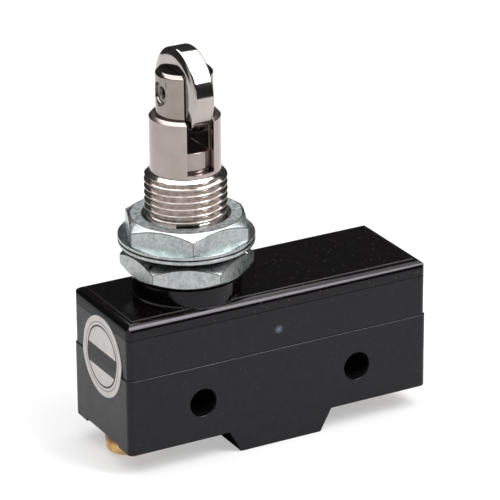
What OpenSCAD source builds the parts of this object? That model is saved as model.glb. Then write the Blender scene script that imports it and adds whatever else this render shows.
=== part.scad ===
// Snap-action basic switch with a panel-mount cross roller plunger.
// Millimetres, +Z up. The origin lies midway between the two side mounting holes,
// in the middle plane of the case. The plunger stands towards -X, -Y is the front face.

/* [Case] */
// Length of the base
body_l = 49.2; // [48.8:0.1:54]
// Depth of the base, front to back
body_w = 17.45; // [17:0.05:20]
// Step in from the base to the upper case, each side
case_inset = 0.15; // [0.1:0.05:0.4]
// Radius of the upright corners
corner_r = 0.9; // [0.5:0.1:1.4]
// Base skirt below the mounting holes
skirt_drop = 5.8; // [5.4:0.1:7]
// Base rim above the mounting holes
base_rise = 5.75; // [5.4:0.05:6.5]
// Height of the middle case
middle_h = 6.2; // [5.8:0.1:8]
// Thickness of the cover
cover_h = 2.45; // [2.2:0.05:3.5]
// Round on the cover's top edges
cover_edge_r = 1.3; // [0.5:0.1:1.6]
// Rise of the cover's flat panel above its edge rounds
panel_rise = 0.12; // [0.08:0.01:0.2]
// Flat ledge between the panel and the edge rounds
panel_ledge = 0.1; // [0.05:0.01:0.3]
// Wall of the base around the mechanism
case_wall = 1.7; // [1.4:0.1:2]
// Thickness of the locating lips
lip_t = 0.8; // [0.6:0.1:0.9]
// Height of the locating lips
lip_h = 0.7; // [0.4:0.1:0.8]
// Side clearance of the locating lips
lip_clear = 0.05; // [0.03:0.01:0.1]

/* [Mounting holes] */
// Pitch of the two through holes
hole_pitch = 25.4; // [24.8:0.1:26]
// Diameter of the through holes
hole_d = 4.2; // [4:0.1:4.5]
// Material above the holes, up to the mechanism floor
hole_wall = 1.9; // [1.6:0.1:2.2]

/* [Terminal side] */
// Depth of the terminal recesses
recess_depth = 2; // [1.6:0.1:2.4]
// Width of the terminal recesses
recess_w = 10; // [9.4:0.1:11]
// Thickness of the end walls
end_wall = 0.8; // [0.6:0.1:1]
// Relief of the end walls' lower edge
end_relief = 0.37; // [0.2:0.01:0.8]
// Length of the middle block at the skirt
block_l_top = 16.94; // [16:0.02:18]
// Length of the middle block at its foot
block_l_foot = 13.28; // [12:0.02:15]
// Drop of the middle block below the skirt
block_drop = 3.35; // [3.2:0.05:5]
// Distance of the outer terminal screws from the base's ends
terminal_inset = 4.3; // [4:0.1:4.5]
// Thickness of the terminal strip
strip_t = 0.9; // [0.7:0.1:1]
// Width of the strips inside the case
strip_w = 5; // [4:0.1:5.6]
// Width of the outer terminals' risers
riser_w = 3.5; // [2.5:0.1:4]
// Width of the terminal plates
plate_w = 8.4; // [7.6:0.1:9]
// Clearance of the strips in the base's slots
strip_clear = 0.03; // [0.02:0.01:0.06]
// Thread diameter of the terminal screws
screw_d = 4; // [3.5:0.1:4.2]
// Length of the terminal screws under the head
screw_l = 6.4; // [5:0.1:7]
// Head diameter of the terminal screws
screw_head_d = 7; // [6.4:0.1:7.6]
// Head height of the terminal screws
screw_head_h = 3; // [2:0.1:3.2]
// Round at the rim of the screw heads
screw_head_round = 0.6; // [0.5:0.1:1.6]
// Diameter of the washers under the screw heads
screw_washer_d = 6.4; // [5.8:0.1:6.8]
// Thickness of the washers under the screw heads
screw_washer_t = 1; // [0.6:0.1:1.1]

/* [Bushing] */
// Distance of the plunger from the middle of the case
plunger_offset = 10.5; // [10:0.1:11]
// Diameter of the moulded boss
boss_d = 15.8; // [13.4:0.1:16.4]
// Height of the moulded boss
boss_h = 2.5; // [2:0.1:3]
// Fillet at the foot of the boss
boss_fillet = 0.25; // [0.1:0.05:1.2]
// Diameter of the mounting thread
thread_d = 11.9; // [11.8:0.1:12.2]
// Length of the thread above the boss
thread_l = 15.95; // [15:0.05:18]
// Chamfer at the end of the thread
thread_chamfer = 0.7; // [0.4:0.05:0.7]
// Diameter of the slotted sleeve
sleeve_d = 10.2; // [10:0.1:10.5]
// Length of the slotted sleeve
sleeve_l = 8.25; // [8:0.05:9]
// Chamfer at the top of the sleeve
sleeve_chamfer = 0.45; // [0.2:0.05:0.5]
// Width of the guide slot in the sleeve
slot_w = 4.25; // [4.2:0.05:4.5]
// Height of the slot's floor above the thread
slot_floor = 0.4; // [0.2:0.1:0.6]
// Diameter of the flange that is moulded into the cover
flange_d = 12.9; // [12.6:0.1:13]
// Thickness of the flange
flange_t = 1; // [0.8:0.1:1.1]
// Wall of the cover under the flange
cover_floor = 1.2; // [1:0.05:1.3]
// Width of the keyway in the thread
keyway_w = 3.3; // [2.5:0.1:4]
// Depth of the keyway
keyway_depth = 0.7; // [0.4:0.05:0.8]
// Keyway's reach above the upper nut
keyway_reach = 0.5; // [0.3:0.1:1.5]
// Heading of the keyway about the plunger axis, degrees
keyway_angle = 244.5; // [200:0.5:280]

/* [Nuts and washers] */
// Width of the nuts across their flats, for a 17 mm spanner
nut_af = 16.7; // [16.5:0.1:18]
// Thickness of the nuts
nut_h = 4; // [3.5:0.1:4.2]
// Diameter of the upper nut's flat faces inside the chamfer
nut_face_d = 16.1; // [15.4:0.1:16.2]
// Diameter of the lower nut's flat faces inside the chamfer
lower_face_d = 15; // [14.6:0.1:16.2]
// Slope of the nuts' chamfers, degrees
nut_chamfer_angle = 32; // [25:1:34]
// Countersink at both ends of the nuts' threads
nut_countersink = 0.4; // [0.2:0.1:0.6]
// Turn of the lower nut, degrees
lower_nut_turn = 32; // [0:1:60]
// Turn of the upper nut, degrees
upper_nut_turn = 8; // [0:1:60]
// Outer diameter of the dished washers
washer_d = 19.7; // [19.6:0.1:22]
// Thickness of the dished washers
washer_t = 0.5; // [0.4:0.02:0.8]
// Angle between the lower washer's rim and the nuts' chamfers, degrees
lower_dish_ease = 7.1; // [5:0.02:16.4]
// Angle between the upper washer's rim and the nuts' chamfers, degrees
upper_dish_ease = 2; // [1.8:0.02:4]
// Clearance of the washers round the thread
washer_clear = 0.2; // [0.1:0.05:0.4]

/* [Plunger and roller] */
// Diameter of the forked plunger
plunger_d = 8.2; // [8:0.1:8.4]
// Running clearance of the plunger, per side
plunger_clear = 0.05; // [0.02:0.01:0.09]
// Full travel of the plunger
travel = 4; // [3.5:0.1:4]
// Reach of the plunger above the sleeve at rest
plunger_reach = 6.5; // [6:0.1:8]
// Chamfer at the top of the fork
fork_chamfer = 0.5; // [0.2:0.1:0.8]
// Width of the fork's slot
fork_w = 3.8; // [3.7:0.05:4.2]
// Depth of the fork's slot
fork_depth = 11.4; // [10.8:0.1:12]
// Diameter of the stop collar
collar_d = 9.5; // [9.2:0.1:9.6]
// Height of the stop collar
collar_h = 2.5; // [1.5:0.1:3]
// Room left under the collar at full travel
collar_room = 0.8; // [0.4:0.1:1.2]
// Diameter of the roller
roller_d = 12.5; // [12.4:0.1:12.8]
// Width of the roller
roller_w = 3.6; // [3.3:0.05:3.65]
// Width of the domed rim round the roller's flat sides
roller_rim = 1.75; // [1.4:0.05:2]
// Radius of the domed rim's section
roller_round = 4.2; // [3.6:0.1:5]
// Reach of the roller above the fork
roller_reach = 3.1; // [2.8:0.1:3.6]
// Running clearance of the roller on its axle, per side
roller_clear = 0.05; // [0.02:0.01:0.09]
// Diameter of the tubular axle
axle_d = 2.6; // [2.4:0.1:3]
// Hole through the axle
axle_hole_d = 1.6; // [1.4:0.05:1.9]
// Growth of the axle's flared ends, in radius
axle_flare = 0.4; // [0.2:0.02:0.5]
// Length of the flares
flare_l = 0.6; // [0.4:0.1:0.9]
// Depth of the axle's ends below the fork's surface
axle_sink = 0.08; // [0.05:0.01:0.2]
// Bore for the spring inside the plunger
spring_bore_d = 5.4; // [5.2:0.1:5.6]
// Depth of the spring bore above the retaining lip
spring_bore_l = 12.4; // [11.5:0.1:13]
// Height of the retaining lip
retainer_h = 0.8; // [0.5:0.1:1]
// Coil diameter of the overtravel spring, outside
spring_d = 4.8; // [4.4:0.1:5]
// Wire of the overtravel spring
spring_wire = 0.6; // [0.4:0.05:0.7]
// Turns of the overtravel spring
spring_turns = 8; // [6:1:9]

/* [Push pin] */
// Diameter of the push pin
pin_d = 3; // [2.6:0.1:3.2]
// Running clearance of the push pin, per side
pin_clear = 0.05; // [0.02:0.01:0.09]
// Diameter of the push pin's head
pin_head_d = 5; // [4.6:0.1:5.1]
// Height of the push pin's head
pin_head_h = 1.2; // [0.8:0.1:1.6]
// Room between the pin's head and the retaining lip
pin_head_room = 0.1; // [0.05:0.01:0.2]
// Room between the pin and the blade
pin_play = 0.02; // [0.01:0.01:0.03]
// Diameter of the guide tube under the cover
guide_d = 5.4; // [5:0.1:6]
// Length of the guide tube
guide_l = 2.4; // [1.5:0.1:2.6]

/* [Contacts] */
// Room between the contacts and the middle case's end
contact_room = 0.7; // [0.6:0.1:1.3]
// Diameter of the contact faces
contact_d = 3.8; // [3.2:0.1:4]
// Height of the fixed contacts
contact_h = 0.9; // [0.7:0.05:1]
// Diameter of the contact shanks
contact_shank_d = 2; // [1.6:0.1:2.2]
// Height of the moving contact on each side of the blade
button_h = 0.7; // [0.5:0.05:0.8]
// Gap between the open contacts
contact_gap = 0.5; // [0.45:0.01:0.6]
// Room left between faces that meet
contact_play = 0.03; // [0.02:0.01:0.05]
// Thickness of the snap blade
blade_t = 0.3; // [0.2:0.02:0.4]
// Width of the snap blade
blade_w = 6; // [5:0.1:6.4]
// Room of the blade at its root, above and below
blade_play = 0.06; // [0.05:0.01:0.08]
// Distance of the blade's root rivet from the middle of the case
root_x = 14.6; // [14:0.1:15]
// Width of the window in the blade
window_w = 3.2; // [2.8:0.1:3.4]
// Left end of the window, from the middle of the case
window_left = 4; // [3:0.1:5]
// Right end of the window, from the middle of the case
window_right = 10; // [9.8:0.1:10.4]
// Rise of the arched tongue
tongue_rise = 1.6; // [1.2:0.1:2]
// Width of the arched tongue
tongue_w = 2.4; // [2:0.1:2.6]
// Thickness of the arched tongue
tongue_t = 0.22; // [0.16:0.02:0.3]
// Left face of the post that holds the tongue, from the middle
post_x = 8.4; // [8:0.1:8.6]
// Diameter of the root rivet
rivet_d = 2.4; // [2:0.1:2.6]
// Diameter of the root rivet's head
rivet_head_d = 4; // [3.6:0.1:4.4]
// Height of the root rivet's head
rivet_head_h = 0.6; // [0.4:0.1:0.8]

/* [Sticker] */
// Diameter of the round sticker on the end wall
sticker_d = 12; // [10:0.1:12]
// Thickness of the sticker
sticker_t = 0.1; // [0.05:0.01:0.15]
// Height of the sticker's centre above the mounting holes
sticker_z = 6.7; // [5.5:0.1:7]
// Distance of the sticker's centre from the middle plane, towards the front
sticker_front = 0.5; // [0:0.1:1]
// Height over which the sticker bridges the step of the case
sticker_bridge = 1.6; // [0.8:0.1:3]

/* [Hidden] */
$fn = 64;
// Overshoot of a cut past the face it opens
cut = 1;

// Levels of the case
skirt_z = -skirt_drop;
foot_z = skirt_z - block_drop;
recess_z = skirt_z + recess_depth;
floor_z = hole_d / 2 + hole_wall;
cover_z = base_rise + middle_h;
top_z = cover_z + cover_h;
boss_z = top_z + boss_h;

// Plan sizes of the case
upper_l = body_l - 2 * case_inset;
upper_w = body_w - 2 * case_inset;
cavity_l = upper_l - 2 * case_wall;
cavity_w = upper_w - 2 * case_wall;
opening_l = cavity_l - 2 * (lip_clear + lip_t);
opening_w = cavity_w - 2 * (lip_clear + lip_t);
panel_l = upper_l - 2 * (cover_edge_r + panel_ledge);
panel_w = upper_w - 2 * (cover_edge_r + panel_ledge);
edge_h = cover_h - panel_rise;
block_wall = 1.5;
recess_in = block_l_top / 2 + block_wall;
recess_out = body_l / 2 - end_wall;
well_w = 9.2;

// Terminals: the outer risers stand at the back of their recesses
terminal_x = body_l / 2 - terminal_inset;
riser_room = 0.4;
riser_out = opening_l / 2 - riser_room;
riser_in = riser_out - riser_w;
riser_gap = 0.1;
riser_y = recess_w / 2 - riser_gap - strip_t;
back_gap = 0.45;
back_y = opening_w / 2 - back_gap - strip_t;
plate_z = recess_z - strip_t;
plate_room = 0.2;
screw_head_z = plate_z - screw_washer_t;
screw_hole_d = screw_d + 0.5;
screw_tip_room = 1;
contact_x = opening_l / 2 - contact_room - contact_d / 2;
arm_end = contact_x + contact_d / 2 - 0.2;
runner_h = 2;

// Contact stack, from the mechanism's floor upwards
open_arm_top = floor_z + strip_t;
open_face_z = open_arm_top + contact_h;
button_low = open_face_z + contact_gap + contact_play;
blade_z = button_low + button_h;
blade_top = blade_z + blade_t;
button_top = blade_top + button_h;
closed_face_z = button_top + contact_play;
closed_arm_z = closed_face_z + contact_h;
closed_arm_top = closed_arm_z + strip_t;
pad_top = blade_z - blade_play;
pad_low = pad_top - strip_t;
pad_step = 0.5;
root_tab = 2;
rivet_room = 0.2;
pad_joint = 1;
step_end = root_x - rivet_head_d / 2 - rivet_room;
pad_end = step_end - pad_joint;

// Bushing and stack on the thread
axis_x = -plunger_offset;
flange_z = cover_z + cover_floor;
thread_z = boss_z + thread_l;
sleeve_z = thread_z + sleeve_l;
slot_z = thread_z + slot_floor;
plunger_bore_d = plunger_d + 2 * plunger_clear;
collar_bore_d = collar_d + 2 * plunger_clear;
lower_washer_z = boss_z + nut_h;
upper_washer_z = lower_washer_z + washer_t;
upper_nut_z = upper_washer_z + washer_t;
rim_w = (washer_d - nut_face_d) / 2;
lower_rise = rim_w * tan(nut_chamfer_angle - lower_dish_ease);
upper_rise = rim_w * tan(nut_chamfer_angle - upper_dish_ease);

// Plunger at rest
plunger_z = flange_z + collar_room + travel;
collar_top = plunger_z + collar_h;
stop_play = 0.05;
plunger_top = sleeve_z + plunger_reach;
fork_z = plunger_top - fork_depth;
roller_z = plunger_top + roller_reach - roller_d / 2;
flare_r = axle_d / 2 + axle_flare;
axle_half = sqrt(pow(plunger_d / 2, 2) - pow(flare_r, 2)) - axle_sink;
spring_bore_z = plunger_z + retainer_h;
spring_bore_top = spring_bore_z + spring_bore_l;
pin_z = blade_top + pin_play;
pin_head_z = spring_bore_z + pin_head_room;
spring_z = pin_head_z + pin_head_h;
spring_h = spring_bore_top - spring_z;

// Flat outline with round corners
module round_rect(l, w, r) {
  square([l - 2 * r, w], center = true);
  square([l, w - 2 * r], center = true);
  for (sx = [-1, 1])
    for (sy = [-1, 1])
      translate([sx * (l / 2 - r), sy * (w / 2 - r)])
        circle(r = r);
}

// Upright profile, centred on X, with its two top corners rounded
module arch_profile(l, h, r) {
  translate([-l / 2, 0])
    square([l, h - r]);
  translate([-l / 2 + r, 0])
    square([l - 2 * r, h]);
  for (sx = [-1, 1])
    translate([sx * (l / 2 - r), h - r])
      circle(r = r);
}

module slab(l, w, r, h) {
  linear_extrude(h)
    round_rect(l, w, r);
}

// Bar along Y with the given profile in X and Z
module along_y(depth) {
  rotate([90, 0, 0])
    linear_extrude(depth, center = true)
      children();
}

module at_plunger(z = 0) {
  translate([axis_x, 0, z])
    children();
}

// Case

module block_profile() {
  polygon([
    [-block_l_top / 2, recess_z],
    [-block_l_top / 2, skirt_z],
    [-block_l_foot / 2, foot_z],
    [block_l_foot / 2, foot_z],
    [block_l_top / 2, skirt_z],
    [block_l_top / 2, recess_z]
  ]);
}

module terminal_recess() {
  translate([recess_in, -recess_w / 2, skirt_z - cut])
    cube([recess_out - recess_in, recess_w, recess_depth + cut]);
  translate([recess_out - cut, -recess_w / 2, skirt_z - cut])
    cube([end_wall + 2 * cut, recess_w, end_relief + cut]);
}

module middle_well() {
  translate([-well_w / 2, -recess_w / 2, foot_z - cut])
    cube([well_w, recess_w / 2 + body_w / 2 + cut, recess_z - foot_z + cut]);
}

module screw_hole() {
  translate([0, 0, recess_z - cut])
    cylinder(d = screw_hole_d, h = screw_l + screw_tip_room + cut);
}

// Slot for a strip that rises through the floor of the base
module riser_slot(x, y, l, w) {
  translate([x - strip_clear, y - strip_clear, recess_z - cut])
    cube([l + 2 * strip_clear, w + 2 * strip_clear, floor_z - recess_z + 2 * cut]);
}

module mounting_holes() {
  for (sx = [-1, 1])
    translate([sx * hole_pitch / 2, 0, 0])
      rotate([90, 0, 0])
        cylinder(d = hole_d, h = body_w + 2 * cut, center = true);
}

module base_case() {
  color([0.16, 0.15, 0.16])
    difference() {
      union() {
        translate([0, 0, skirt_z])
          slab(body_l, body_w, corner_r, base_rise - skirt_z);
        along_y(body_w)
          block_profile();
      }
      translate([-cavity_l / 2, -cavity_w / 2, floor_z])
        cube([cavity_l, cavity_w, base_rise - floor_z + cut]);
      for (sx = [0, 1])
        mirror([sx, 0, 0])
          terminal_recess();
      middle_well();
      mounting_holes();
      for (x = [-terminal_x, 0, terminal_x])
        translate([x, 0, 0])
          screw_hole();
      for (x = [-riser_out, riser_in])
        riser_slot(x, riser_y, riser_w, strip_t);
      riser_slot(-strip_w / 2, back_y, strip_w, strip_t);
    }
}

module middle_case() {
  color([0.15, 0.14, 0.15])
    difference() {
      union() {
        translate([0, 0, base_rise])
          slab(upper_l, upper_w, corner_r, middle_h);
        translate([0, 0, base_rise - lip_h + middle_h / 2])
          cube([cavity_l - 2 * lip_clear, cavity_w - 2 * lip_clear, middle_h], center = true);
      }
      translate([0, 0, base_rise + middle_h / 2])
        cube([opening_l, opening_w, middle_h + 2 * lip_h + 2 * cut], center = true);
    }
}

// Envelope of the bushing below its sleeve, which the cover is moulded round
module bushing_insert() {
  rotate_extrude()
    polygon([
      [0, flange_z],
      [flange_d / 2, flange_z],
      [flange_d / 2, flange_z + flange_t],
      [thread_d / 2, flange_z + flange_t],
      [thread_d / 2, thread_z - thread_chamfer],
      [thread_d / 2 - thread_chamfer, thread_z],
      [0, thread_z]
    ]);
}

// Boss under the lower nut; its foot's fillet ends with the cover's flat panel
module boss() {
  at_plunger(top_z - cover_h / 2)
    cylinder(d = boss_d, h = boss_h + cover_h / 2);
  intersection() {
    at_plunger(top_z)
      rotate_extrude()
        translate([boss_d / 2, 0])
          difference() {
            translate([-boss_fillet, -panel_rise / 2])
              square([2 * boss_fillet, boss_fillet + panel_rise / 2]);
            translate([boss_fillet, boss_fillet])
              circle(r = boss_fillet);
          }
    translate([0, 0, top_z])
      cube([panel_l, panel_w, 2 * boss_h], center = true);
  }
}

module top_cover() {
  color([0.12, 0.11, 0.12])
    difference() {
      union() {
        translate([0, 0, cover_z])
          intersection() {
            slab(upper_l, upper_w, corner_r, edge_h);
            along_y(upper_w)
              arch_profile(upper_l, edge_h, cover_edge_r);
            rotate([0, 0, 90])
              along_y(upper_l)
                arch_profile(upper_w, edge_h, cover_edge_r);
          }
        translate([-panel_l / 2, -panel_w / 2, cover_z + cover_h / 2])
          cube([panel_l, panel_w, cover_h / 2]);
        difference() {
          translate([0, 0, cover_z])
            cube([opening_l - 2 * lip_clear, opening_w - 2 * lip_clear, 2 * lip_h], center = true);
          translate([0, 0, cover_z - cover_h / 2])
            cube([opening_l - 2 * (lip_clear + lip_t), opening_w - 2 * (lip_clear + lip_t), cover_h],
                 center = true);
        }
        boss();
        at_plunger(cover_z - guide_l)
          cylinder(d = guide_d, h = guide_l + cover_floor / 2);
      }
      at_plunger()
        bushing_insert();
      at_plunger(cover_z - guide_l - cut)
        cylinder(d = pin_d + 2 * pin_clear, h = guide_l + cover_h + cut);
    }
}

// Bushing, nuts and washers

module sleeve_body() {
  rotate_extrude()
    polygon([
      [0, thread_z - cut],
      [sleeve_d / 2, thread_z - cut],
      [sleeve_d / 2, sleeve_z - sleeve_chamfer],
      [sleeve_d / 2 - sleeve_chamfer, sleeve_z],
      [0, sleeve_z]
    ]);
}

module threaded_bushing() {
  color([0.72, 0.7, 0.68])
    at_plunger()
      difference() {
        union() {
          bushing_insert();
          sleeve_body();
        }
        translate([0, 0, flange_z - cut])
          cylinder(d = plunger_bore_d, h = sleeve_z - flange_z + 2 * cut);
        translate([0, 0, flange_z - cut])
          cylinder(d = collar_bore_d, h = collar_top + stop_play - flange_z + cut);
        translate([-slot_w / 2, -sleeve_d, slot_z])
          cube([slot_w, 2 * sleeve_d, sleeve_l + cut]);
        rotate([0, 0, keyway_angle])
          translate([thread_d / 2 - keyway_depth, -keyway_w / 2, boss_z])
            cube([keyway_depth + cut, keyway_w, upper_nut_z + nut_h + keyway_reach - boss_z]);
      }
}

module hex_nut(turn, face_d) {
  corner_r_nut = nut_af / 2 / cos(30);
  chamfer_h = (corner_r_nut - face_d / 2) * tan(nut_chamfer_angle);
  difference() {
    intersection() {
      rotate([0, 0, turn])
        cylinder(r = corner_r_nut, h = nut_h, $fn = 6);
      rotate_extrude()
        polygon([
          [0, 0],
          [face_d / 2, 0],
          [corner_r_nut, chamfer_h],
          [corner_r_nut, nut_h - chamfer_h],
          [face_d / 2, nut_h],
          [0, nut_h]
        ]);
    }
    translate([0, 0, -cut])
      cylinder(d = thread_d, h = nut_h + 2 * cut);
    for (end = [0, 1])
      translate([0, 0, end * nut_h])
        mirror([0, 0, end])
          cylinder(d1 = thread_d + 2 * nut_countersink, d2 = thread_d, h = nut_countersink);
  }
}

module lower_nut() {
  color([0.68, 0.72, 0.73])
    at_plunger(boss_z)
      hex_nut(lower_nut_turn, lower_face_d);
}

module upper_nut() {
  color([0.68, 0.72, 0.73])
    at_plunger(upper_nut_z)
      hex_nut(upper_nut_turn, nut_face_d);
}

module dished_washer(rise) {
  rotate_extrude()
    polygon([
      [thread_d / 2 + washer_clear, 0],
      [nut_face_d / 2, 0],
      [washer_d / 2, rise],
      [washer_d / 2, rise + washer_t],
      [nut_face_d / 2, washer_t],
      [thread_d / 2 + washer_clear, washer_t]
    ]);
}

module lower_washer() {
  color([0.62, 0.66, 0.67])
    at_plunger(lower_washer_z)
      dished_washer(lower_rise);
}

module upper_washer() {
  color([0.64, 0.68, 0.69])
    at_plunger(upper_washer_z)
      dished_washer(upper_rise);
}

// Plunger, roller and push pin

module axle_envelope() {
  rotate([0, 90, 0])
    rotate_extrude()
      polygon([
        [0, -plunger_d],
        [flare_r, -plunger_d],
        [flare_r, -axle_half],
        [axle_d / 2, -axle_half + flare_l],
        [axle_d / 2, axle_half - flare_l],
        [flare_r, axle_half],
        [flare_r, plunger_d],
        [0, plunger_d]
      ]);
}

module roller_plunger() {
  color([0.74, 0.72, 0.7])
    at_plunger()
      difference() {
        rotate_extrude()
          polygon([
            [0, plunger_z],
            [collar_d / 2, plunger_z],
            [collar_d / 2, collar_top],
            [plunger_d / 2, collar_top],
            [plunger_d / 2, plunger_top - fork_chamfer],
            [plunger_d / 2 - fork_chamfer, plunger_top],
            [0, plunger_top]
          ]);
        translate([-fork_w / 2, -plunger_d, fork_z])
          cube([fork_w, 2 * plunger_d, fork_depth + cut]);
        translate([0, 0, roller_z])
          axle_envelope();
        translate([0, 0, spring_bore_z])
          cylinder(d = spring_bore_d, h = spring_bore_l);
        translate([0, 0, plunger_z - cut])
          cylinder(d = pin_d + 2 * pin_clear, h = retainer_h + 2 * cut);
      }
}

// One side of the roller's section, past its middle: flat hub, domed rim, plain tread
module roller_section() {
  hub_r = roller_d / 2 - roller_rim;
  intersection() {
    union() {
      translate([0, -roller_w / 4])
        square([hub_r, roller_w * 3 / 4]);
      translate([hub_r, roller_w / 2 - roller_round])
        circle(r = roller_round);
    }
    translate([0, -roller_w / 4])
      square([roller_d / 2, roller_w * 3 / 4]);
  }
}

module roller() {
  color([0.8, 0.79, 0.77])
    at_plunger(roller_z)
      rotate([0, 90, 0])
        difference() {
          rotate_extrude()
            for (side = [0, 1])
              mirror([0, side])
                roller_section();
          cylinder(d = axle_d + 2 * roller_clear, h = roller_w + 2 * cut, center = true);
        }
}

module roller_axle() {
  color([0.7, 0.68, 0.66])
    at_plunger(roller_z)
      rotate([0, 90, 0])
        rotate_extrude()
          polygon([
            [axle_hole_d / 2 + axle_flare / 2, -axle_half],
            [flare_r, -axle_half],
            [axle_d / 2, -axle_half + flare_l],
            [axle_d / 2, axle_half - flare_l],
            [flare_r, axle_half],
            [axle_hole_d / 2 + axle_flare / 2, axle_half],
            [axle_hole_d / 2, axle_half - flare_l],
            [axle_hole_d / 2, -axle_half + flare_l]
          ]);
}

// One ring of a coil's wire, at turn angle a
function coil_ring(a, r, wire_r, z, sides) = [
  for (k = [0 : sides - 1])
    let (b = 360 * k / sides)
      [(r + wire_r * cos(b)) * cos(a), (r + wire_r * cos(b)) * sin(a), z + wire_r * sin(b)]
];

module coil(d, wire, h, turns) {
  sides = 8;
  steps_per_turn = 16;
  steps = steps_per_turn * turns;
  rise = h - wire;
  points = [
    for (i = [0 : steps])
      each coil_ring(360 * i / steps_per_turn, (d - wire) / 2, wire / 2, wire / 2 + rise * i / steps, sides)
  ];
  walls = [
    for (i = [0 : steps - 1])
      for (k = [0 : sides - 1])
        let (n = (k + 1) % sides)
          [i * sides + k, (i + 1) * sides + k, (i + 1) * sides + n, i * sides + n]
  ];
  ends = [
    [for (k = [0 : sides - 1]) k],
    [for (k = [sides - 1 : -1 : 0]) steps * sides + k]
  ];
  polyhedron(points, concat(walls, ends));
}

module overtravel_spring() {
  color([0.6, 0.6, 0.62])
    at_plunger(spring_z)
      coil(spring_d, spring_wire, spring_h, spring_turns);
}

module push_pin() {
  color([0.75, 0.2, 0.15])
    at_plunger() {
      translate([0, 0, pin_z])
        cylinder(d = pin_d, h = pin_head_z - pin_z + pin_head_h / 2);
      translate([0, 0, pin_head_z])
        cylinder(d = pin_head_d, h = pin_head_h);
    }
}

// Snap blade and contacts

module tongue_profile() {
  chord = post_x - contact_play + window_left;
  bend_r = (pow(chord / 2, 2) + pow(tongue_rise, 2)) / (2 * tongue_rise);
  intersection() {
    translate([-window_left + chord / 2, tongue_rise - bend_r])
      difference() {
        circle(r = bend_r + tongue_t / 2, $fn = 128);
        circle(r = bend_r - tongue_t / 2, $fn = 128);
      }
    translate([-window_left, -tongue_t])
      square([chord, tongue_rise + 2 * tongue_t]);
  }
}

module snap_blade() {
  color([0.78, 0.6, 0.36])
    difference() {
      union() {
        translate([0, 0, blade_z])
          linear_extrude(blade_t)
            difference() {
              translate([-arm_end, -blade_w / 2])
                square([arm_end + root_x + root_tab, blade_w]);
              translate([-window_left, -window_w / 2])
                square([window_left + window_right, window_w]);
            }
        translate([0, 0, blade_z + blade_t / 2])
          along_y(tongue_w)
            tongue_profile();
        translate([-window_left - blade_t, -tongue_w / 2, blade_z])
          cube([2 * blade_t, tongue_w, blade_t]);
      }
      translate([-contact_x, 0, blade_z - cut])
        cylinder(d = contact_shank_d, h = blade_t + 2 * cut);
      translate([root_x, 0, blade_z - cut])
        cylinder(d = rivet_d + 2 * blade_play, h = blade_t + 2 * cut);
    }
}

module moving_contact() {
  color([0.8, 0.8, 0.78])
    translate([-contact_x, 0, 0]) {
      translate([0, 0, button_low])
        cylinder(d = contact_d, h = button_h);
      translate([0, 0, blade_top])
        cylinder(d = contact_d, h = button_h);
      translate([0, 0, button_low])
        cylinder(d = contact_shank_d, h = button_top - button_low);
    }
}

module blade_rivet() {
  color([0.76, 0.62, 0.36])
    translate([root_x, 0, 0]) {
      translate([0, 0, pad_low - rivet_head_h])
        cylinder(d = rivet_d, h = blade_top + blade_play + 2 * rivet_head_h - pad_low);
      translate([0, 0, blade_top + blade_play])
        cylinder(d = rivet_head_d, h = rivet_head_h);
      translate([0, 0, pad_low - rivet_head_h])
        cylinder(d = rivet_head_d, h = rivet_head_h);
    }
}

module fixed_contact(face_z, arm_z, shank_z) {
  translate([-contact_x, 0, min(face_z, arm_z)])
    cylinder(d = contact_d, h = contact_h);
  translate([-contact_x, 0, min(face_z, shank_z)])
    cylinder(d = contact_shank_d, h = contact_h + strip_t);
}

module open_contact() {
  color([0.82, 0.82, 0.8])
    fixed_contact(open_face_z, open_arm_top, floor_z);
}

module closed_contact() {
  color([0.82, 0.82, 0.8])
    fixed_contact(closed_face_z, closed_arm_z, closed_arm_top);
}

// Terminals

module terminal_plate(x_near, x_far, y_front, y_back, screw_x) {
  translate([0, 0, plate_z])
    linear_extrude(strip_t)
      difference() {
        translate([min(x_near, x_far), y_front])
          square([abs(x_far - x_near), y_back - y_front]);
        translate([screw_x, 0])
          circle(d = screw_d);
      }
}

// Plate under an outer screw, with the strip that rises behind it to the given height
module end_terminal(side, top) {
  terminal_plate(side * (terminal_x - plate_w / 2), side * (recess_out - plate_room), -plate_w / 2,
                 riser_y + strip_t, side * terminal_x);
  translate([side > 0 ? riser_in : -riser_out, riser_y, plate_z])
    cube([riser_w, strip_t, top - plate_z]);
}

module common_terminal() {
  color([0.8, 0.64, 0.36])
    difference() {
      union() {
        end_terminal(1, pad_top);
        translate([pad_end, -strip_w / 2, pad_low])
          cube([riser_out - pad_end, strip_w / 2 + riser_y + strip_t, strip_t]);
        along_y(tongue_w)
          polygon([
            [step_end, pad_low],
            [step_end, pad_low - pad_step],
            [post_x, pad_low - pad_step],
            [post_x, blade_top + strip_t],
            [post_x + strip_t, blade_top + strip_t],
            [post_x + strip_t, pad_top - pad_step],
            [pad_end, pad_top - pad_step],
            [pad_end, pad_low]
          ]);
      }
      translate([root_x, 0, pad_low - cut])
        cylinder(d = rivet_d, h = strip_t + 2 * cut);
    }
}

module open_terminal() {
  color([0.8, 0.64, 0.36])
    difference() {
      union() {
        end_terminal(-1, open_arm_top);
        translate([-riser_out, -contact_d / 2, floor_z])
          cube([riser_out - contact_x + contact_d / 2, contact_d / 2 + riser_y + strip_t, strip_t]);
      }
      translate([-contact_x, 0, floor_z - cut])
        cylinder(d = contact_shank_d, h = strip_t + 2 * cut);
    }
}

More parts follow.
